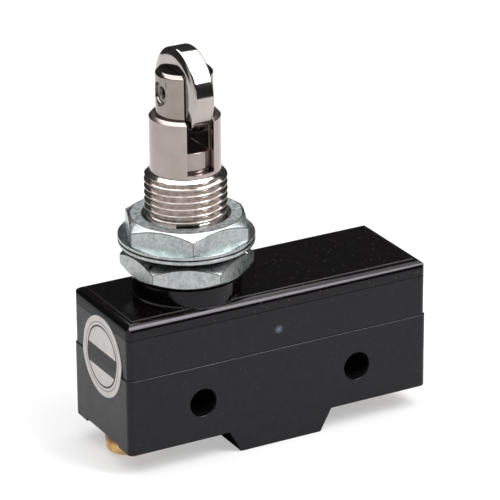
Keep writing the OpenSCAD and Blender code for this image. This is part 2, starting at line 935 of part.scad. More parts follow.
module closed_terminal() {
  arm_w = 2 * (arm_end - contact_x);
  color([0.8, 0.64, 0.36])
    difference() {
      union() {
        terminal_plate(-plate_w / 2, plate_w / 2, -plate_w / 2, back_y + strip_t, 0);
        translate([0, back_y + strip_t / 2, 0])
          along_y(strip_t)
            polygon([
              [strip_w / 2, plate_z],
              [strip_w / 2, closed_arm_top],
              [-arm_end, closed_arm_top],
              [-arm_end, closed_arm_top - runner_h],
              [-strip_w / 2, closed_arm_top - runner_h],
              [-strip_w / 2, plate_z]
            ]);
        translate([-arm_end, -contact_d / 2, closed_arm_z])
          cube([arm_w, contact_d / 2 + back_y + strip_t, strip_t]);
      }
      translate([-contact_x, 0, closed_arm_z - cut])
        cylinder(d = contact_shank_d, h = strip_t + 2 * cut);
    }
}

module pan_screw() {
  slot_depth = screw_head_h / 2;
  difference() {
    union() {
      cylinder(d = screw_d, h = screw_l);
      translate([0, 0, -screw_head_h])
        rotate_extrude() {
          translate([0, screw_head_round])
            square([screw_head_d / 2, screw_head_h - screw_head_round]);
          square([screw_head_d / 2 - screw_head_round, screw_head_h]);
          translate([screw_head_d / 2 - screw_head_round, screw_head_round])
            circle(r = screw_head_round);
        }
    }
    for (turn = [0, 90])
      rotate([0, 0, turn])
        translate([0, 0, -screw_head_h])
          cube([screw_head_d - 2 * screw_head_round, strip_t, 2 * slot_depth], center = true);
  }
}

module terminal_screws() {
  color([0.8, 0.62, 0.34])
    for (x = [-terminal_x, 0, terminal_x])
      translate([x, 0, screw_head_z])
        pan_screw();
}

module screw_washers() {
  color([0.72, 0.58, 0.33])
    for (x = [-terminal_x, 0, terminal_x])
      translate([x, 0, screw_head_z])
        difference() {
          cylinder(d = screw_washer_d, h = screw_washer_t);
          translate([0, 0, -cut])
            cylinder(d = screw_d + 2 * washer_clear, h = screw_washer_t + 2 * cut);
        }
}

// Profile of the sticker: flat on the base, over the step, flat on the upper case
module sticker_profile() {
  polygon([
    [-body_l / 2, sticker_z - sticker_d],
    [-body_l / 2, base_rise],
    [-upper_l / 2, base_rise + sticker_bridge],
    [-upper_l / 2, sticker_z + sticker_d],
    [-upper_l / 2 - sticker_t, sticker_z + sticker_d],
    [-upper_l / 2 - sticker_t, base_rise + sticker_bridge],
    [-body_l / 2 - sticker_t, base_rise],
    [-body_l / 2 - sticker_t, sticker_z - sticker_d]
  ]);
}

module round_sticker() {
  color([0.8, 0.79, 0.78])
    intersection() {
      along_y(body_w)
        sticker_profile();
      translate([-body_l / 2 - cut, -sticker_front, sticker_z])
        rotate([0, 90, 0])
          cylinder(d = sticker_d, h = 2 * cut);
    }
}

base_case();
middle_case();
top_cover();
threaded_bushing();
lower_nut();
upper_nut();
lower_washer();
upper_washer();
roller_plunger();
roller();
roller_axle();
overtravel_spring();
push_pin();
snap_blade();
moving_contact();
blade_rivet();
common_terminal();
open_terminal();
closed_terminal();
open_contact();
closed_contact();
terminal_screws();
screw_washers();
round_sticker();
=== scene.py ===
"""Looks of a panel-mount roller plunger switch: camera, studio, surfaces and the cut thread."""

import math

import bmesh
import bpy
from mathutils import Matrix, Vector


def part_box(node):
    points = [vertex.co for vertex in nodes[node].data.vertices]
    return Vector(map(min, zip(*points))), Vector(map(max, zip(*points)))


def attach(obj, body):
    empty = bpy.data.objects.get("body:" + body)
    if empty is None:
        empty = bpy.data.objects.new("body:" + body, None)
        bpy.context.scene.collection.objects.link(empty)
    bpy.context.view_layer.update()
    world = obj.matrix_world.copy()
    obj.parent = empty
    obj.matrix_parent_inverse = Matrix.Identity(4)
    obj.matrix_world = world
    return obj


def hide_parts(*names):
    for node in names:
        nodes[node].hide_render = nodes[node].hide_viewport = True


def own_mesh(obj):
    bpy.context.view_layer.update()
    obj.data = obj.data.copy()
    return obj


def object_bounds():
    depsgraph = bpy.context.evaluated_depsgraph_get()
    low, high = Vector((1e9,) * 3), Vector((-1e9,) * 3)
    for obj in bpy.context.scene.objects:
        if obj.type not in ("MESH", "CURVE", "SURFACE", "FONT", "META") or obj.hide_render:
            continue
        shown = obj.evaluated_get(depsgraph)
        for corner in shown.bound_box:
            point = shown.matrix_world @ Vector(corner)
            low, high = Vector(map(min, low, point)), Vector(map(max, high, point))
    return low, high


MM = 0.001
NEAR = 0.01 * MM

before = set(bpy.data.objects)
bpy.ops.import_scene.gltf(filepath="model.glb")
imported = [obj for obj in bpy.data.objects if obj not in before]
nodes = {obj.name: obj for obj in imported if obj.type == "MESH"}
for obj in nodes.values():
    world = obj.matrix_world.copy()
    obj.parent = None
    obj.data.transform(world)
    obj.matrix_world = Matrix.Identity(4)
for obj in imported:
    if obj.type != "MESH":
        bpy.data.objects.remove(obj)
cad_low, cad_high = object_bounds()
scene = bpy.context.scene
scene.view_settings.view_transform = "Standard"

FLOOR_Z = cad_low.z
ROLLER_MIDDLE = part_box("roller")[0].lerp(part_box("roller")[1], 0.5)
AXIS_X = ROLLER_MIDDLE.x
ROLLER_Z = ROLLER_MIDDLE.z


# Camera at the photograph's viewing angle

CAMERA_TURN = math.radians(28.777)
CAMERA_TILT = math.radians(22.606)
CAMERA_ROLL = math.radians(-0.382)
CAMERA_TARGET = Vector((-0.188, 0.0, 17.893)) * MM
CAMERA_DISTANCE = 468.15 * MM
SENSOR_WIDTH = 36.0
LENS = 233.39


def make_camera():
    level = math.cos(CAMERA_TILT)
    back = Vector((
        -math.sin(CAMERA_TURN) * level, -math.cos(CAMERA_TURN) * level, math.sin(CAMERA_TILT)))
    right = Vector((math.cos(CAMERA_TURN), -math.sin(CAMERA_TURN), 0.0))
    up = back.cross(right)
    x_axis = right * math.cos(CAMERA_ROLL) + up * math.sin(CAMERA_ROLL)
    y_axis = up * math.cos(CAMERA_ROLL) - right * math.sin(CAMERA_ROLL)
    data = bpy.data.cameras.new("photo_camera")
    data.sensor_width = SENSOR_WIDTH
    data.lens = LENS
    camera = bpy.data.objects.new("photo_camera", data)
    scene.collection.objects.link(camera)
    place = Matrix((x_axis, y_axis, back)).transposed().to_4x4()
    place.translation = CAMERA_TARGET + back * CAMERA_DISTANCE
    camera.matrix_world = place
    scene.camera = camera


make_camera()


# Small helpers for node trees

def add(tree, kind, **settings):
    node = tree.nodes.new(kind)
    for key, value in settings.items():
        setattr(node, key, value)
    return node


def set_inputs(node, **values):
    for key, value in values.items():
        node.inputs[key.replace("_", " ")].default_value = value


def surface(name):
    """A new material, its node tree and its Principled shader."""
    material = bpy.data.materials.new(name)
    material.use_nodes = True
    return material, material.node_tree, material.node_tree.nodes["Principled BSDF"]


def object_coords(tree, stretch=(1.0, 1.0, 1.0)):
    coords = add(tree, "ShaderNodeTexCoord")
    mapping = add(tree, "ShaderNodeMapping")
    mapping.inputs["Scale"].default_value = stretch
    tree.links.new(coords.outputs["Object"], mapping.inputs["Vector"])
    return mapping.outputs["Vector"]


def split_axes(tree, vector):
    """The X, Y and Z parts of a vector."""
    axes = add(tree, "ShaderNodeSeparateXYZ")
    tree.links.new(vector, axes.inputs["Vector"])
    return axes.outputs


def facing_axes(tree):
    """Parts of the surface normal along the object's own axes."""
    return split_axes(tree, add(tree, "ShaderNodeTexCoord").outputs["Normal"])


def noise(tree, coords, scale, detail=3.0, roughness=0.5):
    node = add(tree, "ShaderNodeTexNoise")
    set_inputs(node, Scale=scale, Detail=detail, Roughness=roughness)
    tree.links.new(coords, node.inputs["Vector"])
    return node.outputs["Fac"]


def ramp(tree, factor, stops, smooth=True):
    """Colours at places along a factor, blended or in steps."""
    node = add(tree, "ShaderNodeValToRGB")
    node.color_ramp.interpolation = "LINEAR" if smooth else "CONSTANT"
    elements = node.color_ramp.elements
    while len(elements) < len(stops):
        elements.new(0.5)
    for element, (position, colour) in zip(elements, stops):
        element.position = position
        element.color = (*colour, 1.0)
    tree.links.new(factor, node.inputs["Fac"])
    return node.outputs["Color"]


def spread(tree, value, low, high, new_low, new_high):
    """Value carried over from one range to another, held at the ends."""
    node = add(tree, "ShaderNodeMapRange")
    for index, number in enumerate((low, high, new_low, new_high), start=1):
        node.inputs[index].default_value = number
    tree.links.new(value, node.inputs["Value"])
    return node.outputs["Result"]


def mix_colour(tree, factor, first, second):
    node = add(tree, "ShaderNodeMix", data_type="RGBA")
    tree.links.new(factor, node.inputs["Factor"])
    for socket, colour in ((node.inputs[6], first), (node.inputs[7], second)):
        if isinstance(colour, tuple):
            socket.default_value = (*colour, 1.0)
        else:
            tree.links.new(colour, socket)
    return node.outputs[2]


def math_node(tree, operation, first, second=None):
    node = add(tree, "ShaderNodeMath", operation=operation)
    for socket, value in zip(node.inputs, (first, second)):
        if value is None:
            continue
        if isinstance(value, (int, float)):
            socket.default_value = value
        else:
            tree.links.new(value, socket)
    return node.outputs["Value"]


def vector_node(tree, operation, first, second=None):
    """Length of a linked vector, or its difference from or product with a fixed one."""
    node = add(tree, "ShaderNodeVectorMath", operation=operation)
    tree.links.new(first, node.inputs[0])
    if second is not None:
        node.inputs[1].default_value = second
    return node.outputs["Value" if operation == "LENGTH" else "Vector"]


def bump(tree, shader, heights):
    """Chain of bumps; each entry is (height, strength, distance in metres)."""
    normal = None
    for height, strength, distance in heights:
        node = add(tree, "ShaderNodeBump")
        set_inputs(node, Strength=strength, Distance=distance)
        tree.links.new(height, node.inputs["Height"])
        if normal is not None:
            tree.links.new(normal, node.inputs["Normal"])
        normal = node.outputs["Normal"]
    tree.links.new(normal, shader.inputs["Normal"])


def fade_by_height(tree, coords, tint, clear, full, colour):
    """Tint that turns into another colour from one height to another."""
    height = split_axes(tree, coords)["Z"]
    return mix_colour(tree, spread(tree, height, clear, full, 0.0, 1.0), tint, colour)


# Moulded resin: noise scales in cells per metre, depths in metres

MOST_NOISE = (0.3, 0.7)
RESIN_BLOTCH = 700
RESIN_CELLS = 1400.0
RESIN_FIELD = 900
RESIN_SHEEN = 420
RESIN_GRAIN = 9000
RESIN_WAVES = 160
GRAIN_DEPTH = 0.000006
WAVE_DEPTH = 0.00002
RESIN_IOR = 1.33
RESIN_TINT = (0.97, 0.93, 1.0, 1.0)
END_WALL = (0.9, 0.98)
UNDERSIDE = (-0.4, -0.15)
SATIN = (0.24, 0.34)
FEW_SPECKS = {"reach": (0.05, 0.1), "rarity": (0.52, 0.58)}
MANY_SPECKS = {"reach": (0.09, 0.15), "rarity": (0.45, 0.52)}

CASE = dict(
    dark=(0.0042, 0.0040, 0.0044), pale=(0.0075, 0.0071, 0.0076), speck=(0.11, 0.09, 0.07),
    specks=FEW_SPECKS, rough=SATIN, grain=0.35, waviness=0.12)
COVER = dict(
    dark=(0.0016, 0.0012, 0.0012), pale=(0.0032, 0.0026, 0.0025), speck=(0.075, 0.058, 0.042),
    specks=MANY_SPECKS, rough=(0.1, 0.18), grain=0.12, waviness=0.1, end_shine=0.18)
PIN = dict(
    dark=(0.16, 0.018, 0.012), pale=(0.24, 0.03, 0.02), speck=(0.3, 0.1, 0.08),
    specks=FEW_SPECKS, rough=(0.3, 0.42), grain=0.3, waviness=0.1)
# Dead matt resin of the thin edges along the upper joint line
JOINT = dict(
    dark=(0.0022, 0.0020, 0.0020), pale=(0.0042, 0.0038, 0.0036), speck=(0.02, 0.016, 0.012),
    specks=FEW_SPECKS, rough=(0.6, 0.8), grain=0.12, waviness=0.1, shine=0.0)
# Paler resin on the thin edges of the cover's panel and boss, a painted highlight along those edges
COVER_EDGE_HIGHLIGHT = dict(
    dark=(0.01, 0.009, 0.009), pale=(0.02, 0.018, 0.018), speck=(0.05, 0.04, 0.03),
    specks=FEW_SPECKS, rough=SATIN, grain=0.12, waviness=0.1)

DOT_PLACE = (-0.25 * MM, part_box("middle_case")[0].y, 8.7 * MM)
DOT_EDGE = (0.58 * MM, 0.76 * MM)
DOT_R = 0.75 * MM
# Tones of the dot from centre to rim: blue-grey paint whose pale centre is a painted highlight
DOT_TONES_WITH_HIGHLIGHT = [(0.0, (0.16, 0.22, 0.27)), (0.5, (0.055, 0.08, 0.105)), (1.0, (0.025, 0.032, 0.04))]


def moulded(name, dark, pale, speck, specks, rough, grain, waviness, shine=0.5, end_shine=0.5):
    """Moulded resin with mineral filler: blotches, pale specks, fine grain and a matt underside."""
    material, tree, shader = surface(name)
    coords = object_coords(tree)
    blotch = noise(tree, coords, RESIN_BLOTCH, detail=4)
    colour = ramp(tree, blotch, [(0.35, dark), (0.7, pale)])
    cells = add(tree, "ShaderNodeTexVoronoi")
    set_inputs(cells, Scale=RESIN_CELLS)
    tree.links.new(coords, cells.inputs["Vector"])
    near = spread(tree, cells.outputs["Distance"], *specks["reach"], 1.0, 0.0)
    rare = spread(tree, noise(tree, coords, RESIN_FIELD, detail=1), *specks["rarity"], 0.0, 1.0)
    colour = mix_colour(tree, math_node(tree, "MULTIPLY", near, rare), colour, speck)
    sheen = noise(tree, coords, RESIN_SHEEN, detail=3)
    tree.links.new(spread(tree, sheen, *MOST_NOISE, *rough), shader.inputs["Roughness"])
    shader.inputs["IOR"].default_value = RESIN_IOR
    shader.inputs["Specular Tint"].default_value = RESIN_TINT
    shader.inputs["Specular IOR Level"].default_value = shine
    if shine > 0.0:
        facing = facing_axes(tree)
        end_wall = math_node(tree, "ABSOLUTE", facing["X"])
        wall_gloss = spread(tree, end_wall, *END_WALL, shine, end_shine)
        not_below = spread(tree, facing["Z"], *UNDERSIDE, 0.0, 1.0)
        gloss = math_node(tree, "MULTIPLY", wall_gloss, not_below)
        tree.links.new(gloss, shader.inputs["Specular IOR Level"])
    bump(tree, shader, [
        (noise(tree, coords, RESIN_WAVES, detail=2), waviness, WAVE_DEPTH),
        (noise(tree, coords, RESIN_GRAIN, detail=2), grain, GRAIN_DEPTH),
    ])
    return material, tree, shader, colour


def resin_material(name, **look):
    """Moulded resin without a mark."""
    material, tree, shader, colour = moulded(name, **look)
    tree.links.new(colour, shader.inputs["Base Color"])
    return material


def marked_case_material():
    """The case's resin with the small blue-grey paint dot on the front face; the dot's paler centre is a
    painted highlight.
    """
    material, tree, shader, colour = moulded("moulded_case_marked", **CASE)
    coords = add(tree, "ShaderNodeTexCoord").outputs["Object"]
    away = vector_node(tree, "LENGTH", vector_node(tree, "SUBTRACT", coords, DOT_PLACE))
    cover = spread(tree, away, *DOT_EDGE, 1.0, 0.0)
    paint = ramp(tree, spread(tree, away, 0.0, DOT_R, 0.0, 1.0), DOT_TONES_WITH_HIGHLIGHT)
    tree.links.new(mix_colour(tree, cover, colour, paint), shader.inputs["Base Color"])
    return material


# Turned, drawn and rolled metals: the names of finishes stand for the ends of their roughness

METAL_BLOTCH = 350.0
THREAD_BLOTCH = 1400.0
BRASS_BLOTCH = 800.0
TOOL_SCALE = 1000
TOOL_DEPTH = 0.000004
ROUND_Z = (1.0, 1.0, 14.0)
ROUND_X = (14.0, 1.0, 1.0)
ROUND_Y = (1.0, 14.0, 1.0)
PLATED = (0.08, 0.15)
POLISHED = (0.07, 0.13)
CUT = (0.1, 0.17)
DRAWN = (0.26, 0.38)
STAMPED = (0.16, 0.3)
ROLLED = (0.22, 0.36)
SMOOTH_WIRE = (0.2, 0.34)
WEATHERED = (0.3, 0.45)
DULL_CHAMFER = (0.3, 0.6, 0.0, 0.16)
SCREW_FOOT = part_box("terminal_screws")[0].z
# Painted shade on the upper part of the screw heads, under the case
SCREW_TOP_SHADE = (SCREW_FOOT + 1.3 * MM, SCREW_FOOT + 2.0 * MM, (0.2, 0.1, 0.05))


def turned_metal(name, dull, bright, rough, stretch, lines,
                 blotch_scale=METAL_BLOTCH, top_shade=None, slope=None):
    """Metal with faint tool lines; stretch sets their direction.

    With top_shade, the clear height, the full height and the colour of a painted shade that darkens the
    metal upwards.
    With slope, two values of the normal's Z and the roughness that is added at each.
    """
    material, tree, shader = surface(name)
    plain = object_coords(tree)
    along = object_coords(tree, stretch)
    shader.inputs["Metallic"].default_value = 1.0
    dull_end, bright_end = MOST_NOISE
    blotch = noise(tree, plain, blotch_scale, detail=4)
    tint = ramp(tree, blotch, [(dull_end, dull), (bright_end, bright)])
    # Painted shade: the tint turns darker towards the top
    if top_shade is not None:
        tint = fade_by_height(tree, plain, tint, *top_shade)
    tree.links.new(tint, shader.inputs["Base Color"])
    tool = noise(tree, along, TOOL_SCALE, detail=3, roughness=0.6)
    satin = spread(tree, tool, *MOST_NOISE, *rough)
    if slope is not None:
        satin = math_node(tree, "ADD", satin, spread(tree, facing_axes(tree)["Z"], *slope))
    tree.links.new(satin, shader.inputs["Roughness"])
    bump(tree, shader, [(tool, lines, TOOL_DEPTH)])
    return material


nickel = turned_metal(
    "bright_nickel", (0.33, 0.28, 0.262), (0.385, 0.33, 0.312), PLATED, ROUND_Z, lines=0.12,
    slope=DULL_CHAMFER)
# Paler copy of the bushing's nickel for the thread, painted light in its grooves, with a cut finish
thread_nickel_painted_light = turned_metal(
    "thread_nickel_painted_light", (0.4, 0.345, 0.32), (0.6, 0.545, 0.52), CUT, ROUND_Z, lines=0.05,
    blotch_scale=THREAD_BLOTCH)
axle_nickel = turned_metal(
    "axle_nickel", (0.24, 0.2, 0.185), (0.29, 0.245, 0.23), DRAWN, ROUND_X, lines=0.08)
fork_nickel = turned_metal(
    "fork_nickel", (0.26, 0.22, 0.205), (0.31, 0.265, 0.25), PLATED, ROUND_Z, lines=0.12)
roller_metal = turned_metal(
    "roller_polish", (0.38, 0.34, 0.325), (0.44, 0.4, 0.38), POLISHED, ROUND_X, lines=0.06)
BRASS = dict(
    dull=(0.42, 0.25, 0.09), bright=(0.8, 0.52, 0.22), rough=STAMPED, stretch=ROUND_Z, lines=0.2,
    blotch_scale=BRASS_BLOTCH)
brass = turned_metal("yellow_brass", **BRASS)
screw_brass = turned_metal("screw_brass", **BRASS, top_shade=SCREW_TOP_SHADE)
# Screw washers: bronze darkened to a painted shade, as they sit under the case
washer_bronze_in_painted_shade = turned_metal(
    "washer_bronze_painted_shade", (0.22, 0.115, 0.05), (0.32, 0.18, 0.08), WEATHERED, ROUND_Z, lines=0.2)
copper = turned_metal(
    "rolled_copper", (0.55, 0.3, 0.17), (0.68, 0.4, 0.24), ROLLED, ROUND_Y, lines=0.2)
silver = turned_metal(
    "contact_silver", (0.7, 0.7, 0.68), (0.82, 0.82, 0.8), SMOOTH_WIRE, ROUND_Z, lines=0.15)
wire = turned_metal(
    "spring_wire", (0.28, 0.28, 0.29), (0.4, 0.4, 0.41), SMOOTH_WIRE, ROUND_Z, lines=0.15)


# Zinc plating

ZINC_CLOUDS = 900
ZINC_SPANGLE = 2600
ZINC_WEAR = 1500
ZINC_SHEEN = 1400
ZINC_DIMPLES = 1700
ZINC_SCRATCHES = 2600
CLOUD_SHARE = 0.55
SPANGLE_SHARE = 0.45
UPRIGHT = (1.0, 1.0, 0.12)
ZINC_MARKS = 0.07
DIMPLE_DEPTH = 0.000008
SCRATCH_DEPTH = 0.000004
ZINC_ROUGH = (0.24, 0.38)
END_FACE = (0.9, 0.99)
# Normal Z range over which downward faces take the painted shade
SHADED_UNDERSIDE_FACING = (-0.75, -0.45)
ZINC_TONES = ((0.26, 0.285, 0.285), (0.37, 0.395, 0.39), (0.46, 0.49, 0.49))
EDGE_TONES = ((0.1, 0.1, 0.095), (0.15, 0.15, 0.14), (0.2, 0.2, 0.19))
# Pale blue-white painted at the foot of the upper nut's sides, a painted reflection
FOOT_REFLECTION_ZINC = (0.72, 0.83, 0.83)
UNDERSIDE_SHADE_ZINC = (0.11, 0.12, 0.12)
WORN_ZINC = (0.17, 0.195, 0.195)
TURNED_END = 0.22
NUT_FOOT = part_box("upper_nut")[0].z
# Heights where the painted reflection at the foot of the upper nut's sides starts and is full
FOOT_REFLECTION_HEIGHTS = (NUT_FOOT + 1.4 * MM, NUT_FOOT + 0.1 * MM)


def zinc_material(name, dull, middle, bright, end_roughness=0.0, foot_reflection_and_wear=None):
    """Blue-white zinc plating: cloudy, satin, scratched, with painted shade on downward faces, and
    rougher end faces.

    With foot_reflection_and_wear, worn end faces, and the heights where the painted reflection at the
    foot of the sides starts and is full.
    """
    material, tree, shader = surface(name)
    coords = object_coords(tree)
    shader.inputs["Metallic"].default_value = 1.0
    clouds = noise(tree, coords, ZINC_CLOUDS, detail=5, roughness=0.65)
    spangle = noise(tree, coords, ZINC_SPANGLE, detail=4, roughness=0.6)
    wide = math_node(tree, "MULTIPLY", clouds, CLOUD_SHARE)
    close = math_node(tree, "MULTIPLY", spangle, SPANGLE_SHARE)
    cloudy = math_node(tree, "ADD", wide, close)
    tint = ramp(tree, cloudy, [(0.38, dull), (0.51, middle), (0.64, bright)])
    facing = facing_axes(tree)
    if foot_reflection_and_wear is not None:
        # Painted reflection: the sides turn pale towards their foot
        tint = fade_by_height(tree, coords, tint, *foot_reflection_and_wear, FOOT_REFLECTION_ZINC)
        wear = noise(tree, coords, ZINC_WEAR, detail=4, roughness=0.7)
        worn = ramp(tree, wear, [(0.36, WORN_ZINC), (0.64, bright)])
        tint = mix_colour(tree, spread(tree, facing["Z"], *END_FACE, 0.0, 1.0), tint, worn)
    # Painted shade: faces that look downwards turn dark
    below = spread(tree, facing["Z"], *SHADED_UNDERSIDE_FACING, 1.0, 0.0)
    tint = mix_colour(tree, below, tint, UNDERSIDE_SHADE_ZINC)
    tree.links.new(tint, shader.inputs["Base Color"])
    satin = spread(tree, noise(tree, coords, ZINC_SHEEN, detail=4), *MOST_NOISE, *ZINC_ROUGH)
    turned_end = spread(tree, facing["Z"], *END_FACE, 0.0, end_roughness)
    tree.links.new(math_node(tree, "ADD", satin, turned_end), shader.inputs["Roughness"])
    dimples = noise(tree, coords, ZINC_DIMPLES, detail=3)
    scratches = noise(tree, object_coords(tree, UPRIGHT), ZINC_SCRATCHES, detail=2, roughness=0.7)
    bump(tree, shader, [
        (dimples, ZINC_MARKS, DIMPLE_DEPTH),
        (scratches, ZINC_MARKS, SCRATCH_DEPTH),
    ])
    return material


zinc = zinc_material("zinc_plate", *ZINC_TONES)
turned_zinc = zinc_material("zinc_turned_face", *ZINC_TONES, TURNED_END, FOOT_REFLECTION_HEIGHTS)
zinc_edge = zinc_material("worn_zinc_edge", *EDGE_TONES)


# Sticker: ring and band sizes are shares of its radius

BLACK = (0.0, 0.0, 0.0)
WHITE = (1.0, 1.0, 1.0)
FOIL_TONES = [(0.3, (0.64, 0.6, 0.585)), (0.7, (0.73, 0.69, 0.67))]
INK = (0.025, 0.024, 0.026)
PALE_INK = (0.3, 0.29, 0.29)
THIN_RING = (0.83, 0.86)
BOLD_RING = (0.725, 0.772)
BAND_REACH = 0.75
BAND_LOW = -0.333
BAND_HIGH = 0.15
FOIL_BLOTCH = 600
FOIL_SHEEN = 1500
FOIL_WAVES = 500
FOIL_ROUGH = (0.3, 0.45)
FOIL_METAL = 0.15
FOIL_IOR = 1.28
FOIL_WAVINESS = 0.1
FOIL_DEPTH = 0.00001


def ring_mask(tree, away, inner, outer):
    """White between two distances, black elsewhere."""
    return ramp(tree, away, [(0.0, BLACK), (inner, WHITE), (outer, BLACK)], smooth=False)


def sticker_material():
    """Silver foil disc with two plain rings and a plain dark band."""
    material, tree, shader = surface("sticker_foil")
    low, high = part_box("round_sticker")
    radius = (high.z - low.z) / 2
    coords = add(tree, "ShaderNodeTexCoord").outputs["Object"]
    offset = vector_node(tree, "SUBTRACT", coords, (low + high) / 2)
    flat = vector_node(tree, "MULTIPLY", offset, (0.0, 1.0 / radius, 1.0 / radius))
    away = vector_node(tree, "LENGTH", flat)
    height = split_axes(tree, flat)["Z"]
    under = math_node(tree, "LESS_THAN", height, BAND_HIGH)
    over = math_node(tree, "GREATER_THAN", height, BAND_LOW)
    inside = math_node(tree, "LESS_THAN", away, BAND_REACH)
    band = math_node(tree, "MULTIPLY", math_node(tree, "MULTIPLY", under, over), inside)
    foil = ramp(tree, noise(tree, coords, FOIL_BLOTCH, detail=3), FOIL_TONES)
    colour = mix_colour(tree, ring_mask(tree, away, *THIN_RING), foil, PALE_INK)
    colour = mix_colour(tree, ring_mask(tree, away, *BOLD_RING), colour, INK)
    colour = mix_colour(tree, band, colour, INK)
    tree.links.new(colour, shader.inputs["Base Color"])
    shader.inputs["Metallic"].default_value = FOIL_METAL
    shader.inputs["IOR"].default_value = FOIL_IOR
    sheen = noise(tree, coords, FOIL_SHEEN, detail=2)
    tree.links.new(spread(tree, sheen, *MOST_NOISE, *FOIL_ROUGH), shader.inputs["Roughness"])
    bump(tree, shader, [(noise(tree, coords, FOIL_WAVES, detail=2), FOIL_WAVINESS, FOIL_DEPTH)])
    return material


# Finish of every piece

FINISH = {
    "base_case": resin_material("moulded_case", **CASE),
    "middle_case": marked_case_material(),
    "top_cover": resin_material("moulded_cover", **COVER),
    "threaded_bushing": nickel,
    "lower_nut": zinc,
    "upper_nut": turned_zinc,
    "lower_washer": zinc,
    "upper_washer": zinc,
    "roller_plunger": fork_nickel,
    "roller": roller_metal,
    "roller_axle": axle_nickel,
    "overtravel_spring": wire,
    "push_pin": resin_material("pin_resin", **PIN),
    "snap_blade": copper,
    "moving_contact": silver,
    "blade_rivet": brass,
    "common_terminal": brass,
    "open_terminal": brass,
    "closed_terminal": brass,
    "open_contact": silver,
    "closed_contact": silver,
    "terminal_screws": screw_brass,
    "screw_washers": washer_bronze_in_painted_shade,
    "round_sticker": sticker_material(),
}
for name, material in FINISH.items():
    mesh = nodes[name].data
    mesh.materials.clear()
    mesh.materials.append(material)


# Soft edges on the solids

CASE_EDGE = 0.15 * MM
JOINT_EDGE = 0.05 * MM
NUT_EDGE = 0.09 * MM
WASHER_EDGE = 0.1 * MM
FORK_EDGE = 0.1 * MM
ROLLER_EDGE = 0.22 * MM
SHARP_ANGLE = 35.0
NUT_ANGLE = 20.0
FLAT_ANGLE = 0.4
WELD_REACH = 0.000002
EDGE_STEPS = 3


def ease_edges(name, width, angle=SHARP_ANGLE, edge_material=None):
    """Small edge rounds, as moulding and plating leave them."""
    item = nodes[name]
    if edge_material is not None:
        item.data.materials.append(edge_material)
    weld = item.modifiers.new("weld", "WELD")
    weld.merge_threshold = WELD_REACH
    flat = item.modifiers.new("flat", "DECIMATE")
    flat.decimate_type = "DISSOLVE"
    flat.angle_limit = math.radians(FLAT_ANGLE)
    edge = item.modifiers.new("edge", "BEVEL")
    edge.width = width
    edge.segments = EDGE_STEPS
    edge.limit_method = "ANGLE"
    edge.angle_limit = math.radians(angle)
    edge.use_clamp_overlap = False
    if edge_material is not None:
        edge.material = 1
    normals = item.modifiers.new("normals", "WEIGHTED_NORMAL")
    normals.keep_sharp = False


ease_edges("base_case", CASE_EDGE)
ease_edges("middle_case", JOINT_EDGE, edge_material=resin_material("moulded_joint", **JOINT))
# The cover's edge rounds take the paler resin, a painted highlight along the panel and boss edges
ease_edges("top_cover", JOINT_EDGE, edge_material=resin_material("cover_edge_painted_highlight", **COVER_EDGE_HIGHLIGHT))
for nut in ("lower_nut", "upper_nut"):
    ease_edges(nut, NUT_EDGE, NUT_ANGLE, zinc_edge)
for washer in ("lower_washer", "upper_washer"):
    ease_edges(washer, WASHER_EDGE)
ease_edges("roller_plunger", FORK_EDGE)
ease_edges("roller", ROLLER_EDGE)


# Bushing with its cut thread, in place of the plain solid

BUSHING_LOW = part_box("threaded_bushing")[0].z
BUSHING_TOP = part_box("threaded_bushing")[1].z
THREAD_R = 5.95 * MM
THREAD_TOP = 32.65 * MM
THREAD_START = 26.1 * MM
THREAD_PHASE = 0.13
THREAD_PITCH = 1.0 * MM
THREAD_CHAMFER = 0.7 * MM
RUN_IN = 0.5 * THREAD_PITCH
SLEEVE_R = 5.1 * MM
SLEEVE_CHAMFER = 0.45 * MM
SLEEVE_EDGE = 0.11 * MM
SLEEVE_ANGLE = 40.0
FLANGE_R = 6.45 * MM
FLANGE_TOP = BUSHING_LOW + 1.0 * MM
BORE_R = 4.15 * MM
COLLAR_BORE_R = 4.8 * MM
COLLAR_TOP = 20.5 * MM
SLOT_W = 4.25 * MM
SLOT_Z = 33.25 * MM
KEYWAY_W = 3.3 * MM
KEYWAY_DEPTH = 0.7 * MM
KEYWAY_LOW = 16.9 * MM
KEYWAY_TOP = 26.4 * MM
KEYWAY_HEADING = 244.5
CUTTER_REACH = 12.0 * MM
COLUMNS = 160
SAME_POINT = 0.0001 * MM
SLIVER = 0.00005 * MM

# Thread form: radii in pitches, angles in degrees
CREST_R = 0.14
ROOT_R = 0.1
FLANK_ANGLE = 60.0
FLANK_STEPS = 4
ROOT_ANGLES = (0.0, 30.0)
CREST_ANGLES = [7.5 * step for step in range(8, -1, -1)]


def thread_rows():
    """One pitch of a 60 degree thread, from root to root: (share of the pitch, depth in pitches)."""
    slope = math.tan(math.radians(FLANK_ANGLE))
    root_end = ROOT_R * math.sin(math.radians(FLANK_ANGLE))
    crest_start = 0.5 - CREST_R * math.sin(math.radians(FLANK_ANGLE))
    flank_low = (crest_start - root_end) * slope + CREST_R / 2
    rows = []
    for angle in map(math.radians, ROOT_ANGLES):
        rows.append((ROOT_R * math.sin(angle), flank_low + ROOT_R * (math.cos(angle) - 0.5)))
    for step in range(FLANK_STEPS):
        along = step * (crest_start - root_end) / FLANK_STEPS
        rows.append((root_end + along, flank_low - along * slope))
    for angle in map(math.radians, CREST_ANGLES):
        rows.append((0.5 - CREST_R * math.sin(angle), CREST_R * (1.0 - math.cos(angle))))
    mirrored = [(1.0 - place, depth) for place, depth in reversed(rows[1:-1])]
    return rows + mirrored


